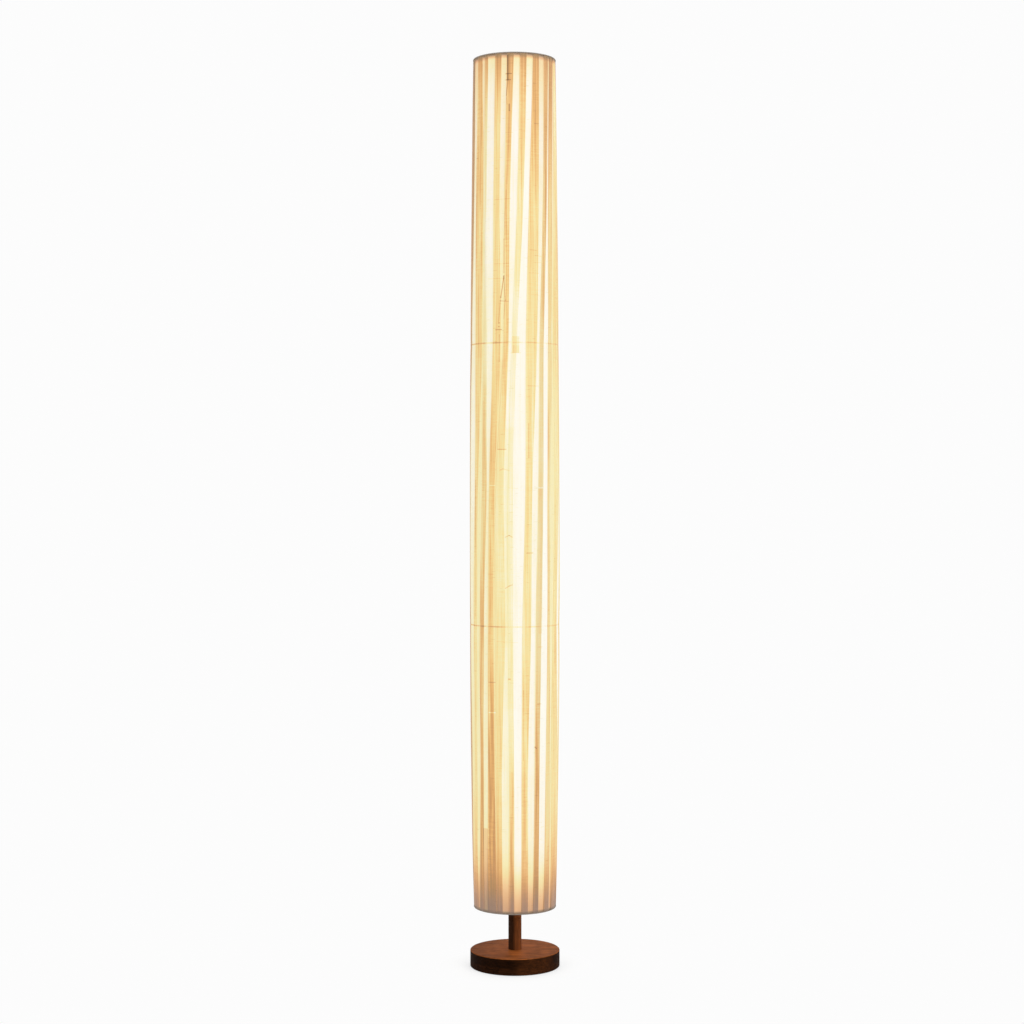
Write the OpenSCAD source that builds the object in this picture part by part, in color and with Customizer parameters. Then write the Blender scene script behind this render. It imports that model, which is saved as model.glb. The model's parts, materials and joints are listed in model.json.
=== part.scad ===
// Slender floor lamp: a pleated fabric sleeve over a light column,
// on a short turned stem and a round base.
// Millimetres. Z is up, the floor is z = 0, the lamp's axis is x = y = 0
// and the front is -Y. The cord inlet is at the rear.

/* [Base] */
// Diameter of the wooden base
base_d = 150; // [130:1:200]
// Height of the wooden base
base_h = 27.5; // [23.5:0.5:33.5]
// Chamfer round the base's edges
base_chamfer = 1; // [0.5:0.1:1.8]
// Thickness of the pad under the base
pad_t = 2; // [1:0.5:4]
// How far the pad stays inside the base's edge
pad_inset = 3; // [2.5:0.5:6]
// How far the pad stands out of its seat in the base's underside
pad_show = 0.5; // [0.3:0.1:0.9]
// Wooden wall left round the ballast
base_wall = 13.5; // [11:0.5:18]
// Wood left over the ballast
base_web = 10; // [8.5:0.5:12]

/* [Ballast] */
// Gap round the ballast plate
ballast_gap = 0.5; // [0.2:0.1:1]
// Gap between the ballast plate and the pad
ballast_lift = 0.5; // [0.3:0.1:0.8]
// Diameter of the hole round the tie tube's nut
ballast_bore_d = 26; // [24:1:30]
// Width of the slot that the wiring lies in
ballast_slot_w = 22; // [19:1:26]
// Shaft diameter of the ballast screws
screw_d = 4; // [3:0.5:5]
// Head diameter of the ballast screws
screw_head_d = 8; // [7:0.5:9]
// How far a ballast screw goes into the wood
screw_bite = 6; // [4:0.5:7]
// Number of ballast screws
screw_count = 3; // [3:1:5]

/* [Stem] */
// Diameter of the wooden stem
stem_d = 22; // [19:0.5:24]
// How far the stem reaches up into the sleeve
stem_overlap = 4; // [1:1:12]
// Distance from the stem's top to its upper groove
groove_drop = 22; // [14:1:30]
// Distance between the two grooves
groove_pitch = 4; // [3:0.5:8]
// Depth of a groove
groove_depth = 0.6; // [0.3:0.1:1]

/* [Tie tube] */
// Outer diameter of the hollow tie tube
tie_d = 10; // [9:0.5:11]
// Wall of the tie tube
tie_wall = 1.2; // [0.8:0.1:1.5]
// Width across the flats of the nut under the base
nut_af = 17; // [15:0.5:19]
// Height of that nut
nut_h = 6; // [5:0.5:6.5]
// Thread of the tie tube that shows below the nut
tie_tail = 1; // [0.5:0.5:1.5]
// Thickness of the washer over the nut
washer_t = 1.6; // [1:0.1:2]
// Width that the washer reaches past the tie tube
washer_lap = 5; // [3.5:0.5:5.5]

/* [Inlet] */
// Bore of the grommet that the supply cord goes through
inlet_bore_d = 6.6; // [5.5:0.1:7]
// Wall of the grommet
grommet_wall = 1.8; // [1.4:0.1:2]
// Width of the grommet's flange outside its body
flange_lap = 1.4; // [0.8:0.1:1.6]
// Thickness of the grommet's flange
flange_t = 1.6; // [1:0.1:2.5]
// How far the flange is sunk behind the base's edge
flange_sink = 0.4; // [0.3:0.1:1]
// Height of the inlet over the pad
inlet_h = 8; // [7.6:0.1:9]
// Width of the terminal block
block_w = 14; // [12:1:16]
// Length of the terminal block
block_l = 18; // [14:1:22]
// Space between the grommet and the terminal block
block_inset = 19.5; // [14:0.5:24]
// Gap between the terminal block and the pad
block_lift = 2; // [1.5:0.5:3]
// Diameter of the screw that holds the terminal block
block_screw_d = 3; // [2:0.5:3.5]

/* [Light column] */
// Outer diameter of the opal tubes
column_d = 32; // [28:1:36]
// Wall of the opal tubes
diffuser_wall = 1.5; // [1:0.1:2]
// Width across the flats of the core profile
core_af = 12; // [11.5:0.5:14]
// Bore of the core profile
core_bore_d = 8.8; // [8:0.1:9]
// Width of an LED board
board_w = 6; // [5:0.5:6.5]
// Thickness of an LED board
board_t = 1; // [0.6:0.1:1.6]
// Distance from one LED chip to the next
chip_pitch = 36; // [24:1:60]
// Length of an LED chip
chip_l = 3.5; // [2:0.1:5]
// Width of an LED chip
chip_w = 2.8; // [2:0.1:4]
// Height of an LED chip
chip_t = 0.8; // [0.5:0.1:1.2]
// Thickness of the collar between two sections
collar_t = 5; // [4:0.5:8]
// Length of the spigots that plug into the cores
spigot_l = 15; // [10:1:25]
// Wall of the spigots
spigot_wall = 1.2; // [0.8:0.1:1.4]
// Height of the rims that centre the opal tubes
lip_h = 3; // [2:0.5:5]
// Height of the foot under the light column
foot_h = 52; // [40:1:70]
// Length of the tie tube's thread in the foot
foot_thread = 22; // [15:1:28]
// Thickness of the collar between stem and foot
stem_collar_t = 4; // [3:0.5:6]
// Width that this collar reaches past the stem
stem_collar_lap = 2; // [1:0.5:4]
// Thickness of the cap on the column
cap_t = 10; // [10:0.5:14]

/* [Wires] */
// Diameter of a wire
wire_d = 1.6; // [1.2:0.1:1.8]
// Distance between the two wires
wire_pitch = 2.6; // [2.4:0.1:2.8]
// Bend radius of a wire
wire_bend = 4; // [3:0.5:5]

/* [Shade] */
// Height of the sleeve with its hems
shade_h = 1416.5; // [1200:0.5:1600]
// Diameter of the sleeve at its ends
shade_end_d = 136.8; // [125:0.1:150]
// How far the sleeve's belly stands out from its ends
shade_bulge = 6.5; // [3:0.1:12]
// Where the belly is: lower values put it lower
bulge_skew = 0.8; // [0.6:0.01:1]
// Space between the base and the sleeve
shade_gap = 71.5; // [50:0.5:90]
// Number of pleats round the sleeve
pleat_count = 21; // [15:1:21]
// Thickness of the sleeve between the folds
layer_t = 0.5; // [0.3:0.1:0.8]
// Extra thickness where a pleat is folded over
fold_t = 1; // [0.6:0.1:1.4]
// Share of a pleat's pitch that is folded over
fold_share = 0.45; // [0.3:0.01:0.6]
// How far the pleats wander sideways, in degrees
pleat_wander = 1.6; // [0:0.1:2]
// Height of a hem
hem_h = 2; // [1.5:0.5:4]
// How far a hem stands out from the folds
hem_lap = 0.3; // [0.1:0.1:1]

/* [Shade frame] */
// Wire diameter of the rings
ring_wire_d = 3; // [2:0.1:4]
// Gap between a ring and the sleeve
ring_gap = 0.3; // [0.2:0.1:0.6]
// How far the middle rings draw the sleeve in
ring_pinch = 0.2; // [0:0.1:1.5]
// Height of the lower middle ring as a share of the sleeve: the upper one mirrors it
ring_share = 0.335; // [0.28:0.001:0.4]
// Diameter of the spider's arms
arm_d = 3; // [2:0.1:4]
// Number of arms on a spider
arm_count = 3; // [3:1:5]
// How deep the top hub lies under the sleeve's top
hub_drop = 25; // [22:1:35]
// Diameter of the top hub
hub_d = 24; // [20:1:32]
// Thickness of the top hub
hub_t = 3; // [2:0.5:5]
// Running gap between the guide ring and the column
guide_gap = 1; // [0.5:0.1:2]
// Wall of the guide ring
guide_wall = 2; // [1.5:0.1:4]
// Height of the guide ring
guide_h = 8; // [4:0.5:14]
// How far the guide ring is over the column's lower end
guide_lift = 4; // [1:0.5:10]

/* [Finial] */
// Diameter of the threaded stud
stud_d = 8; // [6:0.5:9]
// Length of the stud over the column's cap
stud_l = 14; // [11:1:15]
// Length of the stud inside the cap
stud_root = 8; // [5:0.5:8.5]
// Gap round the stud in the finial
finial_gap = 0.05; // [0.02:0.01:0.1]
// Gap round the stud in the hub and the washer
hub_gap = 0.4; // [0.2:0.1:1]
// Diameter of the finial
finial_d = 18; // [15:0.5:22]
// Height of the finial
finial_h = 15; // [14:0.5:19]
// Depth of the finial's grip flutes
flute_depth = 0.6; // [0.3:0.1:1]
// Number of grip flutes
flute_count = 18; // [12:1:24]
// Diameter of the washer under the finial
finial_washer_d = 16; // [14:0.5:20]
// Thickness of that washer
finial_washer_t = 1; // [0.5:0.1:1.6]

/* [Hidden] */
$fn = 96;

// Sections of the light column: each has nodes of its own
section_count = 3;

// Clearances of parts that are fitted by hand, as radii
thread_gap = 0.05;
slip_gap = 0.25;
// Space left past the end of a screw or stud in its hole
tip_gap = 1;
// Extra length of a cutting solid past the faces that it cuts
cut = 1;

// Heights of the base
wood_bottom = pad_show;
base_top = wood_bottom + base_h;
web_bottom = base_top - base_web;

// Heights of the sleeve, the stem and the column that carries the sleeve
shade_bottom = base_top + shade_gap;
shade_top = shade_bottom + shade_h;
stem_top = shade_bottom + stem_overlap;
foot_bottom = stem_top + stem_collar_t;
foot_top = foot_bottom + foot_h;
hub_top = shade_top - hub_drop;
hub_bottom = hub_top - hub_t;
column_top = hub_bottom - cap_t;
section_h = (column_top - foot_top - (section_count - 1) * collar_t) / section_count;
section_step = section_h + collar_t;

// Radii of the base
base_r = base_d / 2;
recess_r = base_r - base_wall;
ballast_r = recess_r - ballast_gap;
ballast_bottom = pad_t + ballast_lift;
screw_circle_r = (ballast_r + ballast_bore_d / 2) / 2;
screw_head_h = (screw_head_d - screw_d) / 2;

// Tie tube, nut and washer
tie_r = tie_d / 2;
nut_top = web_bottom - washer_t;
nut_bottom = nut_top - nut_h;
tie_bottom = nut_bottom - tie_tail;
tie_top = foot_bottom + foot_thread;

// Cord inlet and terminal block
inlet_z = pad_t + inlet_h;
grommet_r = inlet_bore_d / 2 + grommet_wall;
flange_r = grommet_r + flange_lap;
flange_face = base_r - flange_sink;
block_bottom = pad_t + block_lift;
block_front = recess_r - block_inset - block_l;
block_screw_y = block_front + block_l / 2;
// How far the block's screw head is sunk into it
block_head_sink = 2;
block_screw_bottom = block_bottom + block_head_sink;
block_head_r = block_screw_d;
block_head_h = block_screw_d / 2;

// Light column
column_r = column_d / 2;
diffuser_bore_r = column_r - diffuser_wall;
lip_r = diffuser_bore_r - 2 * thread_gap;
core_bore_r = core_bore_d / 2;
spigot_r = core_bore_r - thread_gap;
core_corner_r = core_af / 2 / cos(30);
lead_bore_r = spigot_r - spigot_wall;
// Room for a core with its boards and chips inside a centring rim
seat_gap = 1;
seat_r = core_corner_r + board_t + chip_t + seat_gap;
board_angles = [0, 120, 240];
// Space between the ends of a section and those of its boards
board_end_gap = 1;
// Least space between the ends of a section and its chips
chip_end_gap = 2;

// Sleeve
shade_end_r = shade_end_d / 2;
sleeve_bottom = shade_bottom + hem_h;
sleeve_h = shade_h - 2 * hem_h;
fold_depth = layer_t + fold_t;
pleat_pitch = 360 / pleat_count;
// Levels that the sleeve is drawn at, as shares of its height, and the middle rings' levels
shares = [0, ring_share / 2, ring_share, 0.5, 1 - ring_share, 1 - ring_share / 2, 1];
bands = len(shares) - 1;
lower_level = 2;
upper_level = 4;
// A single layer faces a little to the right of the front
front_angle = -90;
front_turn = 4;
first_pleat = front_angle + front_turn;
// Steps of the wander's phase, in degrees
wander_per_pleat = 137.5;
wander_per_level = 75;
// Angle that a fold's edge takes up, in degrees
fold_edge = 1.2;

// How far the sleeve stands out from its ends at height share u
function belly(u) = shade_bulge * sin(180 * pow(u, bulge_skew));
// The middle rings draw the sleeve in
function pinched(level) = (level == lower_level || level == upper_level) ? ring_pinch : 0;
// Radius of the folds at a level
function fold_r(level) = shade_end_r + belly(shares[level]) - pinched(level);
// Radius of a ring's wire, inside the sleeve at a level
function ring_r(level) = fold_r(level) - fold_depth - ring_gap - ring_wire_d / 2;
// Height of a level
function level_z(level) = sleeve_bottom + sleeve_h * shares[level];

// Angle of a pleat at a level: it wanders a little as it rises
function pleat_angle(k, level) =
    first_pleat + pleat_pitch * (k + (1 - fold_share) / 2)
    + pleat_wander * sin(wander_per_pleat * k + wander_per_level * level);
// The four outer points of a pleat: up its folded edge, over it and down again
pleat_points = [
    [0, fold_t], [fold_edge, 0],
    [fold_share * pleat_pitch, 0], [fold_share * pleat_pitch + fold_edge, fold_t]
];

top_ring_z = shade_top - hem_h - ring_wire_d / 2 - ring_gap;
bottom_ring_z = shade_bottom + hem_h + ring_wire_d / 2 + ring_gap;
hem_outer_r = shade_end_r + hem_lap;
hem_inner_r = ring_r(0) - ring_wire_d / 2;
arm_angles = [for (i = [0 : arm_count - 1]) 90 + 360 / arm_count * i];
// How far an arm is let into its hub or guide ring
arm_root = 1;
hub_r = hub_d / 2;
guide_r = column_r + guide_gap;

// Finial
stud_r = stud_d / 2;
stud_bottom = hub_bottom - stud_root;
stud_top = hub_bottom + stud_l;
finial_r = finial_d / 2;
finial_bottom = hub_top + finial_washer_t;
finial_top = finial_bottom + finial_h;
finial_bore_top = stud_top + tip_gap;
flute_r = 1.2;
finial_chamfer = 1.5;

// A straight tube from z = low to z = high
module tube(outer, inner, low, high) {
    translate([0, 0, low])
        difference() {
            cylinder(r = outer, h = high - low);
            translate([0, 0, -cut])
                cylinder(r = inner, h = high - low + 2 * cut);
        }
}

// A solid rod from z = low to z = high
module rod(radius, low, high) {
    translate([0, 0, low])
        cylinder(r = radius, h = high - low);
}

// A disc with chamfered edges
module chamfered_disc(radius, low, high, chamfer) {
    rotate_extrude()
        polygon([
            [0, low],
            [radius - chamfer, low],
            [radius, low + chamfer],
            [radius, high - chamfer],
            [radius - chamfer, high],
            [0, high]
        ]);
}

// A round bar along +Y at the inlet's height
module inlet_bar(radius, from_y, to_y) {
    translate([0, to_y, inlet_z])
        rotate([90, 0, 0])
            cylinder(r = radius, h = to_y - from_y);
}

// The ballast screws' places, spread evenly either side of the wiring slot
module screw_places() {
    for (i = [0 : screw_count - 1])
        rotate([0, 0, 90 + 360 / screw_count * (i + 0.5)])
            translate([screw_circle_r, 0, 0])
                children();
}

// A countersunk screw, or the cut for one that is wider by gap
module countersunk(gap, top) {
    translate([0, 0, ballast_bottom])
        cylinder(r1 = screw_head_d / 2 + gap, r2 = screw_d / 2 + gap, h = screw_head_h);
    rod(screw_d / 2 + gap, ballast_bottom, top);
}

module base_pad() {
    color("dimgray")
        rod(base_r - pad_inset, 0, pad_t);
}

module base_disc() {
    color([0.46, 0.27, 0.17])
        difference() {
            chamfered_disc(base_r, wood_bottom, base_top, base_chamfer);
            rod(base_r - pad_inset + slip_gap, wood_bottom - cut, pad_t);
            rod(recess_r, wood_bottom - cut, web_bottom);
            rod(tie_r + slip_gap, web_bottom - cut, base_top + cut);
            screw_places()
                rod(screw_d / 2 + thread_gap, web_bottom - cut, web_bottom + screw_bite + tip_gap);
            inlet_bar(grommet_r + thread_gap, recess_r - cut, base_r + cut);
            inlet_bar(flange_r + thread_gap, flange_face - flange_t, base_r + cut);
            translate([0, block_screw_y, 0])
                rod(block_screw_d / 2 + thread_gap, web_bottom - cut, web_bottom + screw_bite);
        }
}

module ballast_plate() {
    color([0.22, 0.22, 0.23])
        difference() {
            rod(ballast_r, ballast_bottom, web_bottom);
            rod(ballast_bore_d / 2, ballast_bottom - cut, web_bottom + cut);
            translate([-ballast_slot_w / 2, 0, ballast_bottom - cut])
                cube([ballast_slot_w, base_r, base_h]);
            screw_places()
                countersunk(slip_gap, web_bottom + cut);
        }
}

module ballast_screws() {
    color("silver")
        screw_places()
            countersunk(0, web_bottom + screw_bite);
}

module base_washer() {
    color("silver")
        tube(tie_r + washer_lap, tie_r + slip_gap, nut_top, web_bottom);
}

module base_nut() {
    color("silver")
        difference() {
            translate([0, 0, nut_bottom])
                cylinder(d = nut_af / cos(30), h = nut_h, $fn = 6);
            rod(tie_r + thread_gap, nut_bottom - cut, nut_top + cut);
        }
}

module tie_tube() {
    color("gold")
        tube(tie_r, tie_r - tie_wall, tie_bottom, tie_top);
}

module cord_grommet() {
    color([0.12, 0.12, 0.12])
        difference() {
            union() {
                inlet_bar(grommet_r, recess_r, flange_face);
                inlet_bar(flange_r, flange_face - flange_t, flange_face);
            }
            inlet_bar(inlet_bore_d / 2, recess_r - cut, base_r + cut);
        }
}

module terminal_block() {
    color("ivory")
        difference() {
            translate([-block_w / 2, block_front, block_bottom])
                cube([block_w, block_l, web_bottom - block_bottom]);
            translate([0, block_screw_y, 0])
                rod(block_screw_d / 2 + slip_gap, 0, web_bottom + cut);
            translate([0, block_screw_y, 0])
                rod(block_head_r + slip_gap, 0, block_screw_bottom + block_head_h);
        }
}

module block_screw() {
    color("silver")
        translate([0, block_screw_y, 0]) {
            rod(block_head_r, block_screw_bottom, block_screw_bottom + block_head_h);
            rod(block_screw_d / 2, block_screw_bottom, web_bottom + screw_bite - tip_gap);
        }
}

module stem() {
    stem_r = stem_d / 2;
    upper = stem_top - groove_drop;
    lower = upper - groove_pitch;
    g = groove_depth;
    color([0.34, 0.18, 0.11])
        difference() {
            rotate_extrude()
                polygon([
                    [0, base_top],
                    [stem_r, base_top],
                    [stem_r, lower - g],
                    [stem_r - g, lower],
                    [stem_r, lower + g],
                    [stem_r, upper - g],
                    [stem_r - g, upper],
                    [stem_r, upper + g],
                    [stem_r, stem_top],
                    [0, stem_top]
                ]);
            rod(tie_r + slip_gap, base_top - cut, stem_top + cut);
        }
}

module stem_collar() {
    color("gold")
        tube(stem_d / 2 + stem_collar_lap, tie_r + slip_gap, stem_top, foot_bottom);
}

// A rim that centres an opal tube, and a spigot that plugs into a core:
// they stand on the face, up = 1, or hang from it, up = -1
module plug(face, up) {
    lip_end = face + up * lip_h;
    spigot_end = face + up * spigot_l;
    tube(lip_r, seat_r, min(face, lip_end), max(face, lip_end));
    rod(spigot_r, min(face, spigot_end), max(face, spigot_end));
}

module column_foot() {
    color("silver")
        difference() {
            union() {
                rod(column_r, foot_bottom, foot_top);
                plug(foot_top, 1);
            }
            rod(tie_r + thread_gap, foot_bottom - cut, tie_top + cut);
            rod(lead_bore_r, foot_bottom, foot_top + spigot_l + cut);
        }
}

module section_core(index) {
    low = foot_top + index * section_step;
    color("silver")
        difference() {
            translate([0, 0, low])
                rotate([0, 0, 30])
                    cylinder(r = core_corner_r, h = section_h, $fn = 6);
            rod(core_bore_r, low - cut, low + section_h + cut);
        }
}

module section_boards(index) {
    low = foot_top + index * section_step;
    color("white")
        for (a = board_angles)
            rotate([0, 0, a])
                translate([core_af / 2, -board_w / 2, low + board_end_gap])
                    cube([board_t, board_w, section_h - 2 * board_end_gap]);
}

module section_chips(index) {
    low = foot_top + index * section_step;
    count = floor((section_h - chip_l - 2 * chip_end_gap) / chip_pitch) + 1;
    first = low + (section_h - (count - 1) * chip_pitch) / 2;
    color("khaki")
        for (a = board_angles)
            rotate([0, 0, a])
                for (i = [0 : count - 1])
                    translate([core_af / 2 + board_t, -chip_w / 2, first + i * chip_pitch - chip_l / 2])
                        cube([chip_t, chip_w, chip_l]);
}

module section_diffuser(index) {
    low = foot_top + index * section_step;
    color([0.98, 0.96, 0.9])
        tube(column_r, diffuser_bore_r, low, low + section_h);
}

module section_collar(index) {
    low = foot_top + index * section_step + section_h;
    high = low + collar_t;
    color("silver")
        difference() {
            union() {
                rod(column_r, low, high);
                plug(low, -1);
                plug(high, 1);
            }
            rod(lead_bore_r, low - spigot_l - cut, high + spigot_l + cut);
        }
}

module column_cap() {
    color("silver")
        difference() {
            union() {
                rod(column_r, column_top, hub_bottom);
                plug(column_top, -1);
            }
            rod(stud_r + thread_gap, stud_bottom, hub_bottom + cut);
            rod(lead_bore_r, column_top - spigot_l - cut, column_top);
        }
}

module top_stud() {
    color("gold")
        rod(stud_r, stud_bottom, stud_top);
}

module inner_leads() {
    low = block_bottom + wire_d;
    high = column_top - spigot_l;
    color("white")
        for (side = [-1, 1])
            translate([side * wire_pitch / 2, 0, 0]) {
                rod(wire_d / 2, low + wire_bend, high);
                translate([0, wire_bend, low])
                    rotate([-90, 0, 0])
                        cylinder(d = wire_d, h = block_front - wire_bend);
                translate([0, wire_bend, low + wire_bend])
                    rotate([180, 90, 0])
                        rotate_extrude(angle = 90)
                            translate([wire_bend, 0])
                                circle(d = wire_d);
            }
}

// A closed sleeve with its main folds: pleats outside, smooth inside
module shade_fabric() {
    around = pleat_count * len(pleat_points);
    rings = bands + 1;
    outer = [
        for (level = [0 : bands])
            for (k = [0 : pleat_count - 1])
                for (p = pleat_points)
                    let (a = pleat_angle(k, level) + p[0], r = fold_r(level) - p[1])
                        [r * cos(a), r * sin(a), level_z(level)]
    ];
    inner = [
        for (level = [0 : bands])
            for (k = [0 : pleat_count - 1])
                for (p = pleat_points)
                    let (a = pleat_angle(k, level) + p[0], r = fold_r(level) - fold_depth)
                        [r * cos(a), r * sin(a), level_z(level)]
    ];
    shift = around * rings;
    wall = [
        for (band = [0 : bands - 1])
            for (i = [0 : around - 1])
                let (a = band * around + i, b = band * around + (i + 1) % around)
                    each [
                        [a, a + around, b],
                        [b, a + around, b + around],
                        [shift + a, shift + b, shift + a + around],
                        [shift + b, shift + b + around, shift + a + around]
                    ]
    ];
    last = bands * around;
    rims = [
        for (i = [0 : around - 1])
            let (j = (i + 1) % around)
                each [
                    [i, j, shift + i],
                    [j, shift + j, shift + i],
                    [last + i, shift + last + i, last + j],
                    [last + j, shift + last + i, shift + last + j]
                ]
    ];
    color([0.93, 0.85, 0.68])
        polyhedron(points = concat(outer, inner), faces = concat(wall, rims));
}

module top_hem() {
    color([0.6, 0.5, 0.38])
        tube(hem_outer_r, hem_inner_r, shade_top - hem_h, shade_top);
}

module bottom_hem() {
    color([0.6, 0.5, 0.38])
        tube(hem_outer_r, hem_inner_r, shade_bottom, shade_bottom + hem_h);
}

module wire_ring(radius, height) {
    color([0.75, 0.7, 0.62])
        translate([0, 0, height])
            rotate_extrude()
                translate([radius, 0])
                    circle(d = ring_wire_d);
}

module top_ring() {
    wire_ring(ring_r(bands), top_ring_z);
}

module upper_ring() {
    wire_ring(ring_r(upper_level), level_z(upper_level));
}

module lower_ring() {
    wire_ring(ring_r(lower_level), level_z(lower_level));
}

module bottom_ring() {
    wire_ring(ring_r(0), bottom_ring_z);
}

// Straight arms from the radius and height of a hub to those of a ring
module arms(from_r, from_z, to_r, to_z) {
    run = to_r - from_r;
    rise = to_z - from_z;
    for (a = arm_angles)
        rotate([0, 0, a])
            translate([from_r, 0, from_z])
                rotate([0, 90 - atan2(rise, run), 0])
                    cylinder(d = arm_d, h = norm([run, rise]));
}

module top_spider() {
    reach = ring_r(bands) - ring_wire_d / 2 - arm_root / 2;
    color([0.75, 0.7, 0.62])
        difference() {
            union() {
                rod(hub_r, hub_bottom, hub_top);
                arms(hub_r - arm_root, hub_top - hub_t / 2, reach, top_ring_z);
            }
            rod(stud_r + hub_gap, hub_bottom - cut, hub_top + cut);
        }
}

module bottom_spider() {
    reach = ring_r(0) - ring_wire_d / 2 - ring_gap;
    guide_bottom = foot_bottom + guide_lift;
    color([0.75, 0.7, 0.62]) {
        tube(guide_r + guide_wall, guide_r, guide_bottom, guide_bottom + guide_h);
        arms(guide_r + guide_wall - arm_root, guide_bottom + guide_h / 2, reach, bottom_ring_z);
    }
}

module finial() {
    color("gold")
        difference() {
            chamfered_disc(finial_r, finial_bottom, finial_top, finial_chamfer);
            rod(stud_r + finial_gap, finial_bottom - cut, finial_bore_top);
            for (i = [0 : flute_count - 1])
                rotate([0, 0, 360 / flute_count * i])
                    translate([finial_r + flute_r - flute_depth, 0, 0])
                        rod(flute_r, finial_bottom - cut, finial_top + cut);
        }
}

module finial_washer() {
    color("dimgray")
        tube(finial_washer_d / 2, stud_r + hub_gap, hub_top, finial_bottom);
}

base_pad();
base_disc();
ballast_plate();
ballast_screws();
base_washer();
base_nut();
tie_tube();
cord_grommet();
terminal_block();
block_screw();
stem();
stem_collar();
column_foot();
section_core(0);  // core_1
section_core(1);  // core_2
section_core(2);  // core_3
section_boards(0);  // led_boards_1
section_boards(1);  // led_boards_2
section_boards(2);  // led_boards_3
section_chips(0);  // led_chips_1
section_chips(1);  // led_chips_2
section_chips(2);  // led_chips_3
section_diffuser(0);  // diffuser_1
section_diffuser(1);  // diffuser_2
section_diffuser(2);  // diffuser_3
section_collar(0);  // joint_collar_1
section_collar(1);  // joint_collar_2
column_cap();
top_stud();
inner_leads();
shade_fabric();
top_hem();
bottom_hem();
top_ring();
upper_ring();
lower_ring();
bottom_ring();
top_spider();
bottom_spider();
finial();
finial_washer();
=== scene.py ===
import json
import math

import bpy
import numpy as np
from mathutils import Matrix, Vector


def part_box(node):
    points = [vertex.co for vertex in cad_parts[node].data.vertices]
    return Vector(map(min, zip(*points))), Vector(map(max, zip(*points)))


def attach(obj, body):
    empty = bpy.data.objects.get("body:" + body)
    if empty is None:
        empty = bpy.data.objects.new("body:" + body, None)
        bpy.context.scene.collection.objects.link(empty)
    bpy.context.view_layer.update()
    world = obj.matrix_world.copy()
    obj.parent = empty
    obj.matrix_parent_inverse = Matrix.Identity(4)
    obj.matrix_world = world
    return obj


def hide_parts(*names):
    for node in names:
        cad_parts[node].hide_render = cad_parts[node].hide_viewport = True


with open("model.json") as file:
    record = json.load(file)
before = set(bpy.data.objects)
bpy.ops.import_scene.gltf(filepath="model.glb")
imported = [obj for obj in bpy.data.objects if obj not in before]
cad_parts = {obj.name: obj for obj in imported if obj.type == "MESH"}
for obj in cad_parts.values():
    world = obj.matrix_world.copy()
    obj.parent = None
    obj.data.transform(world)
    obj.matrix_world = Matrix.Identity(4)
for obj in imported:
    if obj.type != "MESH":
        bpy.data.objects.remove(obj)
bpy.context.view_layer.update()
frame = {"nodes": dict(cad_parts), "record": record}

scene = bpy.context.scene
nodes = frame["nodes"]
MM = 0.001


# ---- Camera, light and floor

# The photograph's viewpoint: place in metres, pitch and roll in degrees, focal length in millimetres
CAMERA_PLACE = (-0.0044, -3.384, 0.8194)
CAMERA_PITCH = 0.97
CAMERA_ROLL = 0.04
CAMERA_LENS = 71.06
# Brightness of the white behind the lamp
BACKDROP = 0.975
# Each lamp's name, place, what it points at, diameter in metres and power in watts
LAMPS = [
    ("key", (2.2, -2.6, 3.2), (0, 0, 0.7), 3.0, 70),
    ("fill", (-2.8, -2.2, 2.2), (0, 0, 0.8), 3.0, 30),
    ("back", (0.3, 3.2, 2.8), (0, 0, 0.8), 3.0, 45),
    ("top", (0, 0, 4.2), (0, 0, 0), 3.2, 45),
]
FLOOR_RADIUS = 14
FLOOR_SIDES = 96
FLOOR_COLOUR = (0.94, 0.945, 0.95)
# The backdrop's share in the floor under the lamp, and the distances over which it rises to all of it
FLOOR_WHITE = 0.55
FLOOR_FADE = (0.05, 0.13)


def look_from(place, pitch, roll, lens):
    """A camera that looks towards +Y, tilted down by pitch degrees."""
    data = bpy.data.cameras.new("camera")
    data.lens = lens
    data.sensor_width = 36
    data.clip_start = 0.05
    data.clip_end = 60
    camera = bpy.data.objects.new("camera", data)
    camera.location = place
    camera.rotation_euler = (math.radians(90 - pitch), math.radians(roll), 0)
    scene.collection.objects.link(camera)
    scene.camera = camera


look_from(CAMERA_PLACE, CAMERA_PITCH, CAMERA_ROLL, CAMERA_LENS)
scene.view_settings.view_transform = "Standard"


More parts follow.
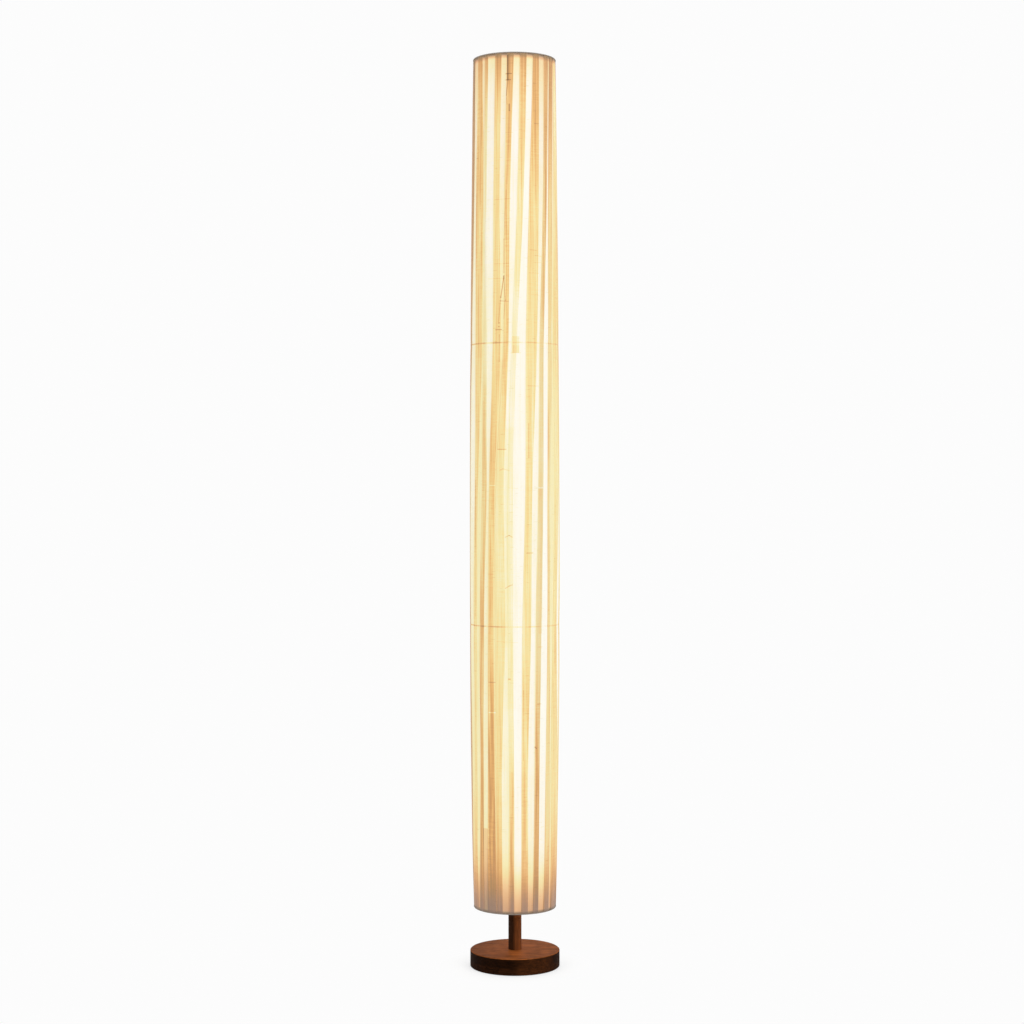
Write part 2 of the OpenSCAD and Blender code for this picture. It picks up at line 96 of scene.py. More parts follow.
class Nodes:
    """Builds a node tree. Values may be sockets or plain numbers, and each call returns a socket."""

    def __init__(self, tree):
        self.tree = tree
        tree.nodes.clear()

    def node(self, kind, inputs=(), **settings):
        new = self.tree.nodes.new("ShaderNode" + kind)
        for name, value in settings.items():
            setattr(new, name, value)
        for key, value in dict(inputs).items():
            socket = new.inputs[key]
            if isinstance(value, bpy.types.NodeSocket):
                self.tree.links.new(value, socket)
            elif socket.type == "RGBA" and len(value) == 3:
                socket.default_value = (*value, 1)
            else:
                socket.default_value = value
        return new

    def math(self, operation, a, b=0.0):
        return self.node("Math", {0: a, 1: b}, operation=operation).outputs[0]

    def add(self, a, b):
        return self.math("ADD", a, b)

    def mul(self, a, b):
        return self.math("MULTIPLY", a, b)

    def vec(self, operation, a, b=(0, 0, 0)):
        return self.node("VectorMath", {0: a, 1: b}, operation=operation).outputs[0]

    def dot(self, a, b):
        return self.node("VectorMath", {0: a, 1: b}, operation="DOT_PRODUCT").outputs[1]

    def length(self, vector):
        return self.node("VectorMath", {0: vector}, operation="LENGTH").outputs[1]

    def mix(self, share, a, b):
        new = self.node("Mix", {0: share}, data_type="RGBA")
        for key, value in ((6, a), (7, b)):
            if isinstance(value, bpy.types.NodeSocket):
                self.tree.links.new(value, new.inputs[key])
            else:
                new.inputs[key].default_value = (*value, 1)
        return new.outputs[2]

    def tint(self, a, b):
        """Colour a times colour b."""
        return self.vec("MULTIPLY", a, b)

    def tone(self, colour, value):
        """The colour made lighter or darker by value."""
        return self.vec("MULTIPLY", colour, self.join(value, value, value))

    def fade(self, value, low, high, ends=(0.0, 1.0)):
        """The first of ends at low, the second at high, with a smooth change between."""
        inputs = {0: value, 1: low, 2: high, 3: ends[0], 4: ends[1]}
        settings = {"interpolation_type": "SMOOTHSTEP", "clamp": False}
        return self.node("MapRange", inputs, **settings).outputs[0]

    def held(self, value):
        """The value kept between 0 and 1."""
        return self.node("Clamp", {0: value}).outputs[0]

    def ramp(self, value, stops):
        new = self.node("ValToRGB", {0: value})
        elements = new.color_ramp.elements
        while len(elements) < len(stops):
            elements.new(1.0)
        for element, (place, colour) in zip(elements, stops):
            element.position = place
            element.color = (*colour, 1)
        return new.outputs[0]

    def noise(self, place, scale=1.0, detail=2.0, rough=0.5):
        return self.node("TexNoise", {0: place, 2: scale, 3: detail, 4: rough}).outputs[0]

    def spread(self, value, amount):
        """A noise from 0 to 1, centred on 0 and scaled."""
        return self.mul(self.math("SUBTRACT", value, 0.5), amount)

    def grain(self, place, stretch, detail=2.0, rough=0.5):
        """A noise centred on 0. Stretch says how fast it changes along each axis."""
        return self.spread(self.noise(self.vec("MULTIPLY", place, stretch), 1.0, detail, rough), 1.0)

    def split(self, vector):
        return self.node("SeparateXYZ", {0: vector}).outputs

    def join(self, x, y, z=0.0):
        return self.node("CombineXYZ", {0: x, 1: y, 2: z}).outputs[0]

    def attribute(self, name):
        return self.node("Attribute", attribute_name=name).outputs["Fac"]

    def use(self, tree, **inputs):
        """The first output of a node group."""
        return self.node("Group", inputs, node_tree=tree).outputs[0]

    def bump(self, height, strength, distance):
        inputs = {"Strength": strength, "Distance": distance, "Height": height}
        return self.node("Bump", inputs).outputs[0]

    def surface(self, colour, rough, normal=None, glow=None, **sockets):
        """A Principled shader as the material's surface. Sockets are named with _ for a space."""
        inputs = {"Base Color": colour, "Roughness": rough}
        if normal is not None:
            inputs["Normal"] = normal
        if glow is not None:
            inputs["Emission Color"] = glow
            inputs["Emission Strength"] = 1.0
        for name, value in sockets.items():
            inputs[name.replace("_", " ")] = value
        shader = self.node("BsdfPrincipled", inputs)
        self.output(shader.outputs[0])

    def output(self, shader):
        self.tree.links.new(shader, self.node("OutputMaterial").inputs[0])


def material(name):
    new = bpy.data.materials.new(name)
    new.use_nodes = True
    return new, Nodes(new.node_tree)


def object_place(t, scale=(1, 1, 1)):
    """Object coordinates in millimetres, stretched by scale."""
    place = t.node("TexCoord").outputs["Object"]
    return t.vec("MULTIPLY", place, tuple(1000 * s for s in scale))


def light_scene():
    world = bpy.data.worlds.new("studio")
    world.use_nodes = True
    scene.world = world
    t = Nodes(world.node_tree)
    path = t.node("LightPath").outputs
    bounced = t.math("MAXIMUM", path["Is Glossy Ray"], path["Is Transmission Ray"])
    seen = t.math("MAXIMUM", path["Is Camera Ray"], bounced)
    fill = t.node("Background", {0: (1.0, 1.0, 1.0), 1: 0.5}).outputs[0]
    white = t.node("Background", {0: (BACKDROP,) * 3, 1: 1.0}).outputs[0]
    both = t.node("MixShader", {0: seen, 1: fill, 2: white}).outputs[0]
    t.tree.links.new(both, t.node("OutputWorld").inputs[0])
    for name, place, aim, size, power in LAMPS:
        data = bpy.data.lights.new(name, "AREA")
        data.shape = "DISK"
        data.size = size
        data.energy = power
        lamp = bpy.data.objects.new(name, data)
        lamp.location = place
        lamp.rotation_euler = (Vector(aim) - Vector(place)).to_track_quat("-Z", "Y").to_euler()
        scene.collection.objects.link(lamp)


def floor():
    """A pale floor that takes the lamp's shadow and fades into the backdrop away from it."""
    mesh = bpy.data.meshes.new("floor")
    turns = [2 * math.pi * i / FLOOR_SIDES for i in range(FLOOR_SIDES)]
    rim = [(FLOOR_RADIUS * math.cos(turn), FLOOR_RADIUS * math.sin(turn), 0) for turn in turns]
    mesh.from_pydata(rim, [], [list(range(FLOOR_SIDES))])
    ob = bpy.data.objects.new("floor", mesh)
    scene.collection.objects.link(ob)
    mat, t = material("floor")
    place = t.split(t.node("TexCoord").outputs["Object"])
    far = t.fade(t.length(t.join(place[0], place[1])), *FLOOR_FADE, ends=(FLOOR_WHITE, 1))
    seen = t.mul(far, t.node("LightPath").outputs["Is Camera Ray"])
    plain = t.node("BsdfDiffuse", {0: FLOOR_COLOUR}).outputs[0]
    white = t.node("Emission", {0: (BACKDROP,) * 3, 1: 1.0}).outputs[0]
    t.output(t.node("MixShader", {0: seen, 1: plain, 2: white}).outputs[0])
    mesh.materials.append(mat)


light_scene()
floor()


# ---- Mesh helpers

def mesh_piece(name, verts, faces, mat, body):
    mesh = bpy.data.meshes.new(name)
    mesh.from_pydata(verts, [], faces)
    mesh.validate()
    mesh.update()
    mesh.polygons.foreach_set("use_smooth", [True] * len(mesh.polygons))
    mesh.materials.append(mat)
    ob = bpy.data.objects.new(name, mesh)
    scene.collection.objects.link(ob)
    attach(ob, body)
    return ob


def grid_faces(rows, columns, first=0, flip=False):
    """Quads over a grid of rows x columns that closes round its columns."""
    r = np.arange(rows - 1)[:, None] * columns
    c = np.arange(columns)[None, :]
    d = (c + 1) % columns
    quads = np.stack([r + c, r + d, r + columns + d, r + columns + c], axis=-1).reshape(-1, 4) + first
    return (quads[:, ::-1] if flip else quads).tolist()


# ---- The sleeve: one sheet, knife-pleated all the way round

low_corner, high_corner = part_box("shade_fabric")
SLEEVE_LOW = low_corner.z * 1000
SLEEVE_HIGH = high_corner.z * 1000
RING_HEIGHTS = [sum(corner.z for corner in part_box(name)) * 500 for name in ("lower_ring", "upper_ring")]
# Outer radius at the rims, how much wider the belly's is, and the exponent under 1 that puts the
# widest place below the middle
END_RADIUS = 68.4
BULGE = 6.5
BULGE_SKEW = 0.8
# How far the middle rings draw the cloth in, and over what height
PINCH = 0.2
PINCH_SPREAD = 11
# Depth from one layer of a fold to the next, and the cloth's thickness
LAYER_STEP = 0.6
CLOTH = 0.24
# Least width of a fold and of the open cloth between two folds, in degrees
LEAST_FOLD = 2.5
LEAST_OPEN = 1.4
# Levels of the mesh: evenly spaced ones, and closer ones near each middle ring and rim
EVEN_LEVELS = 95
RING_CLEARANCE = 16
RING_LEVELS = (-14, -9, -5, -2, 0, 2, 5, 9, 14)
RIM_LEVEL = 4
# How far the hung cloth stands out between what holds it: its mean, its waves' height and number,
# and the distance over which it grows from nothing
SLACK = 0.15
SLACK_WAVE = 0.11
SLACK_WAVES = 9
SLACK_GROWTH = 70
SLACK_SEED = 21

# The front's folds from left to right. Each has, at seven heights from the lower hem to the upper one,
# its left edge and its width in degrees from the front, and how much light it holds back, in tenths;
# then how much the single layer to its right holds back, below, half way up and above, and how much
# greyer than the others it is, in hundredths.
FRONT_FOLDS = [
    ([-95] * 7, [14, 20, 17, 16, 21, 25, 24], [12, 11, 11, 11, 12, 12, 16], [12, 4, 7], 24),
    ([-79, -66, -66, -62, -62, -63, -61], [17, 8, 9, 8, 16, 18, 11], [8, 6, 6, 8, 7, 9, 9], [7, 8, 5], 0),
    ([-57, -51, -51, -46, -45, -45, -45], [10, 6, 8, 8, 6, 5, 6], [11, 11, 9, 8, 5, 4, 9], [7, 5, 1], 4),
    ([-41, -37, -36, -34, -29, -29, -27], [15, 10, 8, 8, 11, 9, 9], [13, 12, 8, 9, 7, 6, 10], [9, 10, 3], 0),
    ([-25, -25, -25, -24, -14, -13, -10], [8, 8, 13, 10, 6, 7, 9], [11, 7, 5, 5, 8, 8, 10], [5, 4, 1], 0),
    ([-8, -7, -8, -8, -3, 4, 8], [7, 6, 6, 6, 6, 8, 9], [9, 6, 2, 2, 3, 6, 9], [0, 1, 0], 0),
    ([9, 9, 10, 14, 15, 20, 27], [9, 8, 11, 9, 15, 14, 9], [8, 7, 6, 6, 6, 8, 10], [3, 2, 5], 0),
    ([26, 27, 28, 32, 35, 42, 46], [8, 7, 8, 7, 6, 6, 8], [12, 11, 5, 6, 7, 10, 9], [1, 0, 4], 8),
    ([44, 45, 47, 47, 50, 52, 58], [10, 8, 4, 5, 8, 8, 8], [8, 6, 7, 6, 6, 8, 11], [5, 8, 10], 4),
    ([61, 56, 59, 64, 63, 69, 70], [17, 22, 10, 13, 14, 13, 10], [9, 6, 7, 5, 6, 7, 3], [0, 1, 1], 0),
    ([86, 84, 82, 84, 84, 87, 86], [8, 8, 8, 8, 9, 8, 8], [9, 7, 6, 6, 9, 7, 9], [5, 5, 5], 0),
]
FOLD_HEIGHTS = 7
# The back's folds: how many, the first one's left edge, the step from one to the next and the mean
# width in degrees, and the light that they hold back, in general and at the lower hem, in tenths
BACK_FOLDS = 10
BACK_START = 102
BACK_STEP = 16.2
BACK_WIDTH = 8
BACK_DARK = 7
BACK_DARK_LOW = 11
BACK_SEED = 7
# The sheet's way through one fold, outermost layer last. Each row has the share of the fold's width,
# millimetres past that, and the depth under the outermost layer in layer steps.
FOLD_PATH = [
    (0.02, 0, 2), (0.4, 0, 2), (0.75, 0, 2), (1, -0.25, 2), (1, 0, 1.5), (1, -0.25, 1),
    (0.7, 0, 1), (0.35, 0, 1), (0, 0.3, 1), (0, -0.1, 0.88), (0, -0.28, 0.5), (0, -0.1, 0.12),
    (0, 0.3, 0), (0.3, 0, 0), (0.6, 0, 0), (1, -0.5, 0), (1, 0.2, 0.3),
]
# Its way from there to the next fold: the share of the open stretch, and the depth
OPEN_PATH = [(0, 1.2), (0.25, 1.7), (0.5, 1.85), (0.75, 1.95), (1, 2)]
# Where the open stretch starts past the fold and ends before the next, in millimetres
OPEN_START = 1.0
OPEN_END = 0.3


def all_folds():
    """The front's folds and the back's, which are drawn by lot with the same character."""
    lot = np.random.default_rng(BACK_SEED)
    folds = [[*(np.array(row, float) for row in fold[:4]), fold[4]] for fold in FRONT_FOLDS]
    for k in range(BACK_FOLDS):
        drift = np.cumsum(lot.normal(0, 1.5, FOLD_HEIGHTS))
        left = BACK_START + BACK_STEP * k + np.clip(drift - drift.mean(), -3, 3)
        width = BACK_WIDTH + 2.2 * lot.standard_normal() + 1.6 * lot.standard_normal(FOLD_HEIGHTS)
        width = np.clip(width, 4.5, 11)
        dark = BACK_DARK + 1.5 * lot.standard_normal() + 1.3 * lot.standard_normal(FOLD_HEIGHTS)
        dark = np.clip(dark, 2, 11)
        dark[0] = BACK_DARK_LOW
        folds.append([left, width, dark, lot.uniform(1, 5, 3), lot.uniform(0, 8)])
    return folds


def eased(values, share):
    """Catmull-Rom through evenly spaced values, at shares 0 to 1."""
    values = np.concatenate([[2 * values[0] - values[1]], values, [2 * values[-1] - values[-2]]])
    at = np.clip(share, 0, 1) * (len(values) - 3)
    i = np.minimum(at.astype(int), len(values) - 4)
    t = at - i
    a, b, c, d = (values[i + k] for k in range(4))
    square = 2 * a - 5 * b + 4 * c - d
    cube = 3 * b - a - 3 * c + d
    return 0.5 * (2 * b + (c - a) * t + square * t**2 + cube * t**3)


def sleeve_radius(z):
    """Radius of the sleeve's outside in millimetres, drawn in a little by the middle rings."""
    share = np.clip((z - SLEEVE_LOW) / (SLEEVE_HIGH - SLEEVE_LOW), 0, 1)
    radius = END_RADIUS + BULGE * np.sin(np.pi * share**BULGE_SKEW)
    for ring in RING_HEIGHTS:
        radius = radius - PINCH * np.exp(-(((z - ring) / PINCH_SPREAD) ** 2))
    return radius


def slack(angle, z):
    """Slight waves of the hung cloth, none at the rings and hems."""
    lot = np.random.default_rng(SLACK_SEED)
    wave = np.zeros(np.broadcast(angle, z).shape)
    for _ in range(SLACK_WAVES):
        turns = lot.integers(3, 19)
        rise = lot.uniform(160, 620)
        phase = lot.uniform(0, 6.28)
        lean = lot.uniform(-1, 1)
        height = lot.uniform(0.3, 1)
        wave = wave + np.sin(np.radians(angle) * turns + 6.28 * z / rise * lean + phase) * height
    held = np.minimum.reduce([np.abs(z - h) for h in (SLEEVE_LOW, SLEEVE_HIGH, *RING_HEIGHTS)])
    return np.clip(SLACK + SLACK_WAVE * wave, -0.2, 0.8) * np.clip(held / SLACK_GROWTH, 0, 1)


def sleeve_levels():
    levels = list(np.linspace(SLEEVE_LOW, SLEEVE_HIGH, EVEN_LEVELS))
    for ring in RING_HEIGHTS:
        levels = [z for z in levels if abs(z - ring) > RING_CLEARANCE]
        levels += [ring + d for d in RING_LEVELS]
    return np.array(sorted(levels + [SLEEVE_LOW + RIM_LEVEL, SLEEVE_HIGH - RIM_LEVEL]))


# What the cloth's material reads at each point of the sheet: its angle, its distances in millimetres
# past the fold's left and right edges and to the next fold, how much light the fold holds back, the
# fold's number, how much the open stretch after it holds back, and how grey the fold is
TAGS = ("angle", "past_left", "past_right", "to_next", "dark", "stripe", "rest", "grey")


def sheet_lines(z, radius):
    """The upright lines of the sheet in order: their angles, their depths and their tags' values."""
    share = (z - SLEEVE_LOW) / (SLEEVE_HIGH - SLEEVE_LOW)
    per_mm = 180 / (np.pi * radius)
    folds = all_folds()
    left = [eased(fold[0], share) for fold in folds]
    left.append(left[0] + 360)
    columns = {tag: [] for tag in TAGS}
    angles, depths = [], []
    for k, fold in enumerate(folds):
        a = left[k]
        c = left[k + 1]
        width = np.minimum(np.maximum(eased(fold[1], share), LEAST_FOLD), c - a - LEAST_OPEN)
        b = a + width
        dark = np.clip(eased(fold[2], share), 0.5, 25) / 10
        rest = np.clip(eased(fold[3], share), 0, 20) / 10
        grey = np.full(len(z), fold[4] / 100)
        open_from = b + np.minimum(OPEN_START * per_mm, 0.3 * (c - b))
        open_width = c - OPEN_END * per_mm - open_from
        lines = [(a + part * width + mm * per_mm, depth) for part, mm, depth in FOLD_PATH]
        lines += [(open_from + part * open_width, depth) for part, depth in OPEN_PATH]
        for angle, depth in lines:
            angles.append(angle)
            depths.append(np.full(len(z), depth * LAYER_STEP))
            past_left = (angle - a) / per_mm
            past_right = (angle - b) / per_mm
            to_next = (c - angle) / per_mm
            number = np.full(len(z), k)
            values = (angle, past_left, past_right, to_next, dark, number, rest, grey)
            for tag, value in zip(TAGS, values):
                columns[tag].append(value)
    return np.array(angles).T, np.array(depths).T, columns


def pleated_sheet():
    """The sheet's two faces closed at both rims, the values at its points, and its flat width."""
    z = sleeve_levels()
    radius = sleeve_radius(z)
    angle, depth, columns = sheet_lines(z, radius)
    heights = np.repeat(z[:, None], angle.shape[1], 1)
    r = radius[:, None] - depth + slack(angle, heights)
    turn = np.radians(angle)
    surface = np.stack([r * np.sin(turn), -r * np.cos(turn), heights], -1)
    along = np.roll(surface, -1, 1) - np.roll(surface, 1, 1)
    up = np.gradient(surface, axis=0)
    normal = np.cross(along, up)
    normal /= np.linalg.norm(normal, axis=-1, keepdims=True)
    outer = surface + normal * CLOTH / 2
    inner = surface - normal * CLOTH / 2
    outer[..., 2] = inner[..., 2] = heights
    rows, count = angle.shape
    half = rows * count
    faces = grid_faces(rows, count) + grid_faces(rows, count, half, flip=True)
    for row, flip in ((0, True), (rows - 1, False)):
        for i in range(count):
            p = row * count + i
            q = row * count + (i + 1) % count
            quad = [p, q, half + q, half + p]
            faces.append(quad[::-1] if flip else quad)
    verts = np.concatenate([outer.reshape(-1, 3), inner.reshape(-1, 3)]) * MM
    values = {tag: np.tile(np.array(columns[tag]).T.reshape(-1), 2) for tag in TAGS}
    width = np.linalg.norm(np.roll(surface, -1, 1) - surface, axis=-1).sum(1).mean()
    return verts, faces, values, width * MM


# ---- The sleeve's cloth

# Lines and patches on the front: ends in degrees from the front and millimetres of height,
# half width in millimetres, and how much light they hold back; a negative one lets more through.
# A patch ends with the width in millimetres over which it fades out.
LINES = [
    ((-9, 1510), (-9, 1470), 1.8, 1.5),
    ((-9, 1470), (-11, 1445), 1.4, 0.8),
    ((-11, 1445), (-10, 1430), 1.2, 0.4),
    ((-7, 1430), (-7, 1420), 1.8, 0.9),
    ((-7, 1420), (-10, 1300), 1.2, 0.4),
    ((-12, 1480), (-4, 1480), 1.3, 0.9),
    ((-12, 1470), (-5, 1470), 1.3, 0.9),
    ((-20, 1510), (-20, 1400), 1.2, 0.25),
    ((-50, 1500), (-50, 1420), 1.2, 0.3),
    ((59, 1500), (57, 1380), 1.2, 0.5),
    ((-11, 1290), (-14, 1210), 1.2, 0.4),
    ((-14, 1210), (-14, 1155), 1.3, 0.7),
    ((-14, 1150), (-18, 1115), 1.5, 0.9),
    ((-18, 1115), (-21, 1075), 1.3, 0.5),
    ((-14, 1150), (-12, 1110), 1.2, 0.7),
    ((-12, 1110), (-14, 1080), 1.2, 0.5),
    ((-19, 1109), (-8, 1108), 1.1, 0.5),
    ((-21, 1073), (-20, 1073), 1.4, 0.9),
    ((-21, 1067), (-20, 1067), 1.4, 0.7),
    ((-25, 1062), (-17, 1062), 1.3, 0.8),
    ((-20, 1054), (-20, 1010), 1.2, 0.5),
    ((-37, 1146), (-13, 1146), 1.0, 0.25),
    ((-27, 1170), (-8, 1170), 1.0, 0.25),
    ((-27, 1275), (-5, 1276), 1.0, 0.3),
    ((20, 1193), (30, 1192), 1.0, 0.35),
    ((28, 1184), (38, 1183), 1.0, 0.35),
    ((26, 1172), (38, 1173), 1.0, 0.25),
    ((19, 1155), (34, 1155), 1.0, 0.25),
    ((22, 1119), (34, 1119), 1.0, 0.2),
    ((28, 1400), (35, 1400), 1.1, 0.5),
    ((-62, 1347), (-58, 1347), 1.1, 0.5),
    ((-12, 1384), (-2, 1384), 1.0, 0.25),
    ((-5, 1024), (8, 1024), 1.0, 0.3),
    ((17, 970), (32, 970), 1.0, 0.35),
    ((18, 908), (18, 852), 1.2, 0.5),
    ((-44, 946), (-44, 798), 1.2, 0.3),
    ((-22, 866), (-11, 866), 1.2, 0.7),
    ((-19, 832), (-15, 834), 1.1, 0.4),
    ((-15, 834), (-7, 831), 1.1, 0.4),
    ((-8, 803), (4, 802), 0.9, 0.2),
    ((-12, 722), (-7, 725), 1.2, 0.6),
    ((-7, 725), (-3, 722), 1.2, 0.6),
    ((-12, 638), (-7, 642), 1.2, 0.6),
    ((-7, 642), (-3, 644), 1.2, 0.6),
    ((15, 696), (24, 696), 1.2, 0.7),
    ((-33, 807), (-26, 807), 1.2, -0.5),
    ((32, 803), (38, 803), 1.2, -0.5),
    ((-35, 483), (-26, 483), 1.2, 0.6),
    ((-35, 433), (-26, 433), 1.3, -0.7),
    ((-37, 661), (-28, 661), 0.9, 0.3),
    ((-8, 489), (-6, 489), 2.0, 0.7),
    ((30, 447), (36, 447), 1.2, 0.6),
    ((31, 541), (38, 541), 1.1, 0.4),
    ((27, 376), (29, 374), 1.8, 0.8),
    ((-24, 551), (4, 549), 0.9, 0.2),
    ((11, 470), (11, 355), 1.2, 0.3),
    ((-60, 815), (-60, 590), 1.4, 0.4),
    ((48, 1040), (48, 600), 1.2, 0.3),
    ((80, 1260), (80, 850), 1.4, 0.8),
]
# Every line's strength is multiplied by this
LINE_GAIN = 1.7
PATCHES = [
    ((-7, -2), (90, 336), 0.3, 0.8),
    ((10, 18.5), (90, 290), 0.15, 4.0),
    ((-47, -39), (90, 240), 0.8, 1.5),
    ((-3, 6), (1036, 1051), 0.45, 0.8),
    ((-3, 6), (1024, 1036), 0.75, 0.8),
    ((31, 38), (563, 801), 0.3, 0.8),
    ((-23, -12), (866, 1013), 0.2, 6.0),
    ((-11, 1), (440, 900), 0.2, 14.0),
    ((-12, -2), (543, 763), 0.12, 10.0),
]
# Millimetres of the sleeve's outside per degree round it
MM_PER_DEGREE = 1.28

# The light that comes out of the cloth in each colour, for the share of the column's light let through
RED_LIGHT = [
    (0, 0), (0.05, 0.26), (0.1, 0.42), (0.155, 0.51), (0.25, 0.555), (0.4, 0.56), (0.6, 0.59),
    (0.8, 0.62), (1, 0.62),
]
GREEN_LIGHT = [
    (0, 0), (0.068, 0.1), (0.126, 0.2), (0.187, 0.3), (0.287, 0.445), (0.438, 0.545), (0.63, 0.605),
    (0.82, 0.65), (1, 0.68),
]
BLUE_LIGHT = [
    (0, 0), (0.02, 0.02), (0.05, 0.04), (0.089, 0.09), (0.165, 0.16), (0.24, 0.205), (0.304, 0.255),
    (0.41, 0.35), (0.515, 0.445), (0.75, 0.61), (1, 0.66),
]

# How fast each mark of the cloth changes per millimetre round the sleeve and up it, and per stripe
WEFT = (0.03, 0.42, 1)
FINE_WEFT = (0.09, 1.3, 1)
WARP = (0.8, 0.008, 1)
STREAK = (0.28, 0.006, 1)
CLOUD = (0.05, 0.012, 1)
RIPPLE = (0.03, 0.013, 1)
SLUB = (0.07, 0.6, 1)
WOBBLE = (0.2, 0.2, 1)
SLUB_SHIFT = (31.0, 7.0, 0.0)
STRIPE_STEP = 41.0
# Length in millimetres over which a stripe keeps one tone
TONE_LENGTH = 118
# Radians per millimetre of the weave, whose threads are about 0.7 mm apart
WEAVE = 9.0

# The light column's ends, and how softly the light falls off round each, in millimetres
COLUMN_LOW = 165.0
COLUMN_LOW_SPREAD = 45.0
COLUMN_HIGH = 1500.0
COLUMN_HIGH_SPREAD = 70.0

# Colours of the cloth: one layer, folded, thickly folded, near the lower rim, and its seams
OPEN_COLOUR = (0.355, 0.275, 0.195)
FOLDED_COLOUR = (0.335, 0.21, 0.105)
THICK_COLOUR = (0.34, 0.25, 0.185)
LOW_COLOUR = (0.29, 0.2, 0.155)
SEAM_COLOUR = (0.13, 0.07, 0.03)


def group(name, inputs, build):
    """A node group with one output, Value."""
    tree = bpy.data.node_groups.new(name, "ShaderNodeTree")
    for key, kind in inputs:
        tree.interface.new_socket(key, in_out="INPUT", socket_type=kind)
    tree.interface.new_socket("Value", in_out="OUTPUT", socket_type="NodeSocketFloat")
    t = Nodes(tree)
    entry = tree.nodes.new("NodeGroupInput")
    leave = tree.nodes.new("NodeGroupOutput")
    tree.links.new(build(t, entry.outputs), leave.inputs[0])
    return tree


def line_group():
    """A line from A to B that fades out over Width on both sides."""

    def build(t, given):
        run = t.vec("SUBTRACT", given["B"], given["A"])
        reach = t.vec("SUBTRACT", given["P"], given["A"])
        share = t.held(t.math("DIVIDE", t.dot(reach, run), t.dot(run, run)))
        step = t.node("VectorMath", {0: run, "Scale": share}, operation="SCALE").outputs[0]
        away = t.node("VectorMath", {0: reach, 1: step}, operation="DISTANCE").outputs[1]
        return t.fade(away, 0.0, given["Width"], ends=(given["Strength"], 0.0))

    kinds = [("P", "NodeSocketVector"), ("A", "NodeSocketVector"), ("B", "NodeSocketVector")]
    return group("line", kinds + [("Width", "NodeSocketFloat"), ("Strength", "NodeSocketFloat")], build)


def patch_group():
    """A rectangle round Centre with a soft border."""

    def build(t, given):
        away = t.vec("ABSOLUTE", t.vec("SUBTRACT", given["P"], given["Centre"]))
        beyond = t.split(t.vec("SUBTRACT", away, given["Half"]))
        farthest = t.math("DIVIDE", t.math("MAXIMUM", beyond[0], beyond[1]), given["Soft"])
        return t.fade(farthest, -0.5, 0.5, ends=(given["Strength"], 0.0))

    kinds = [("P", "NodeSocketVector"), ("Centre", "NodeSocketVector"), ("Half", "NodeSocketVector")]
    return group("patch", kinds + [("Soft", "NodeSocketFloat"), ("Strength", "NodeSocketFloat")], build)


def line_marks(t, place):
    marks = 0.0
    tree = line_group()
    for a, b, width, strength in LINES:
        start, end = ((degrees * MM_PER_DEGREE, height, 0) for degrees, height in (a, b))
        line = t.use(tree, P=place, A=start, B=end, Width=width, Strength=strength * LINE_GAIN)
        marks = t.add(marks, line)
    return marks


def patch_marks(t, place):
    marks = 0.0
    tree = patch_group()
    for sides, (low, high), strength, soft in PATCHES:
        left, right = (side * MM_PER_DEGREE for side in sides)
        centre = ((left + right) / 2, (low + high) / 2, 0)
        half = ((right - left) / 2, (high - low) / 2, 1)
        patch = t.use(tree, P=place, Centre=centre, Half=half, Soft=soft, Strength=strength)
        marks = t.add(marks, patch)
    return marks


def ring_marks(t, angle, arc, z):
    """Shadows of the middle rings: broken lines, darker on the left of the front."""
    marks = 0.0
    for ring in RING_HEIGHTS:
        shadow = t.fade(t.math("ABSOLUTE", t.math("SUBTRACT", z, ring)), 0.5, 1.6, ends=(1, 0))
        broken = t.fade(t.noise(t.join(t.mul(arc, 0.05), 3.0)), 0.35, 0.6, ends=(0.25, 1))
        side = t.fade(angle, -30.0, 0.0, ends=(1.4, 0.6))
        marks = t.add(marks, t.mul(shadow, t.mul(broken, side)))
    return marks


def hem_marks(t, z):
    """Shadows of the turned-in cloth at both rims, with a darker line at the upper one."""
    upper = t.fade(z, SLEEVE_HIGH - 10.0, SLEEVE_HIGH - 2.5)
    lower = t.fade(z, SLEEVE_LOW + 1.8, SLEEVE_LOW + 4.5, ends=(1, 0))
    rim = t.fade(z, SLEEVE_HIGH - 4.0, SLEEVE_HIGH - 2.2)
    return t.add(t.mul(t.add(upper, lower), 1.4), t.mul(rim, 1.5))


def column_light(t, z):
    """How much of the light column each height sees."""

    def seen(end, spread, sign):
        d = t.mul(t.math("SUBTRACT", z, end), sign)
        away = t.math("SQRT", t.add(t.mul(d, d), spread * spread))
        return t.mul(t.add(t.math("DIVIDE", d, away), 1.0), 0.5)

    low = seen(COLUMN_LOW, COLUMN_LOW_SPREAD, 1.0)
    return t.mul(low, seen(COLUMN_HIGH, COLUMN_HIGH_SPREAD, -1.0))


